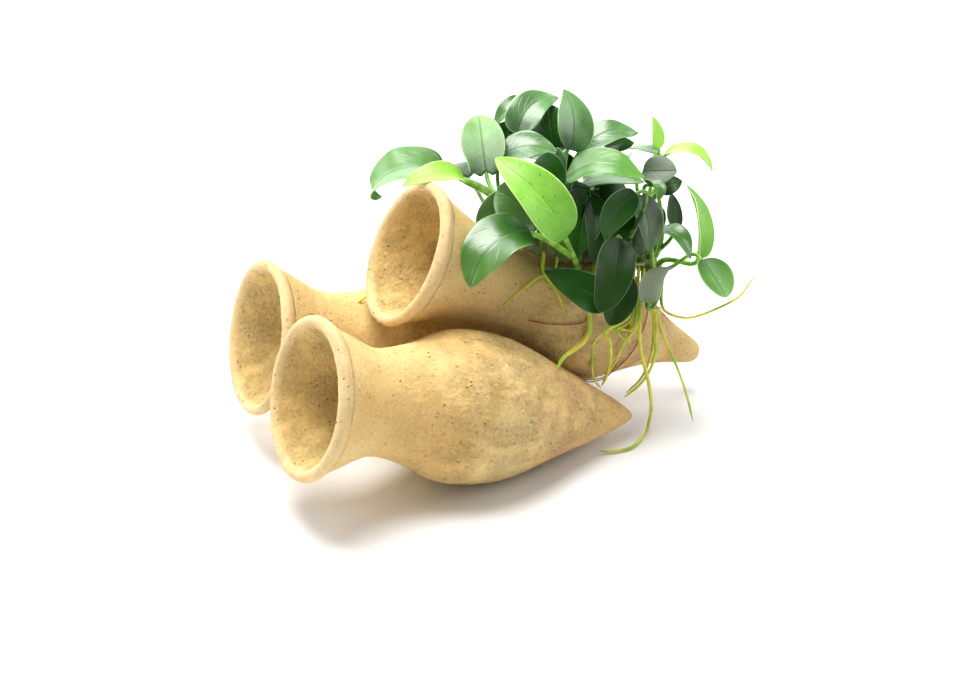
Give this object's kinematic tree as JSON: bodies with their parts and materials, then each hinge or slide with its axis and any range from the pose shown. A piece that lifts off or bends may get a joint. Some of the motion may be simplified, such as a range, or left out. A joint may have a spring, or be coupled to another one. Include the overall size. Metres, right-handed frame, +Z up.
{
  "type": "anubias plant on clay amphorae",
  "caption": "Broad-leaved aquarium plant tied with thread to a pointed clay amphora that lies in the valley between others of its kind, its roots hanging down to the ground.",
  "frame": {"origin": "middle of the underside of the whole thing, on the ground", "axes": "+X from the amphorae's mouths to their points, +Z up, -Y towards the side with the hanging roots"},
  "size_m": [0.1703, 0.1109, 0.1162],
  "materials": {
    "clay": "matte",
    "rhizome": "matte",
    "roots": "satin",
    "thread": "matte",
    "leaf_bright": "satin",
    "leaf_lime": "satin",
    "leaf_light": "satin",
    "leaf_mid": "satin",
    "leaf_blue": "satin",
    "leaf_grey": "satin",
    "leaf_dark": "satin",
    "leaf_deep": "satin"
  },
  "bodies": {
    "root": {"amphora_front": "clay", "amphora_rear": "clay", "amphora_top": "clay", "leaf_back_high": "leaf_mid", "leaf_back_left": "leaf_mid", "leaf_back_low": "leaf_dark", "leaf_back_low_right": "leaf_dark", "leaf_back_middle": "leaf_mid", "leaf_back_neck": "leaf_dark", "leaf_back_right": "leaf_dark", "leaf_back_upper_right": "leaf_mid", "leaf_bright": "leaf_bright", "leaf_broad_right": "leaf_mid", "leaf_far_left": "leaf_mid", "leaf_front_behind": "leaf_deep", "leaf_front_hanging": "leaf_deep", "leaf_front_low_left": "leaf_dark", "leaf_gap_dark": "leaf_dark", "leaf_hanging_dark": "leaf_dark", "leaf_hanging_grey": "leaf_grey", "leaf_hanging_narrow": "leaf_grey", "leaf_left_behind": "leaf_grey", "leaf_left_lime": "leaf_lime", "leaf_left_round": "leaf_light", "leaf_low_left": "leaf_mid", "leaf_neck_back": "leaf_dark", "leaf_neck_front": "leaf_dark", "leaf_right_arching": "leaf_mid", "leaf_right_curled": "leaf_mid", "leaf_right_grey": "leaf_grey", "leaf_right_low": "leaf_mid", "leaf_right_tall": "leaf_light", "leaf_right_triangle": "leaf_grey", "leaf_right_tucked": "leaf_dark", "leaf_right_upright": "leaf_grey", "leaf_shade_deep": "leaf_dark", "leaf_shade_flat": "leaf_dark", "leaf_shade_high": "leaf_dark", "leaf_shade_low": "leaf_dark", "leaf_shade_round": "leaf_dark", "leaf_shoot_drooping": "leaf_lime", "leaf_shoot_flat": "leaf_mid", "leaf_shoot_upright": "leaf_lime", "leaf_top_dark": "leaf_dark", "leaf_top_large": "leaf_blue", "leaf_top_small": "leaf_mid", "leaf_top_upright": "leaf_mid", "leaf_under_broad": "leaf_mid", "leaf_upper_middle": "leaf_blue", "leaf_upper_right": "leaf_blue", "leaf_upper_right_back": "leaf_dark", "rhizome": "rhizome", "root_belly": "roots", "root_long": "roots", "root_middle": "roots", "root_neck": "roots", "root_reaching": "roots", "root_thin": "roots", "root_valley": "roots", "thread": "thread"}
  },
  "joints": []
}
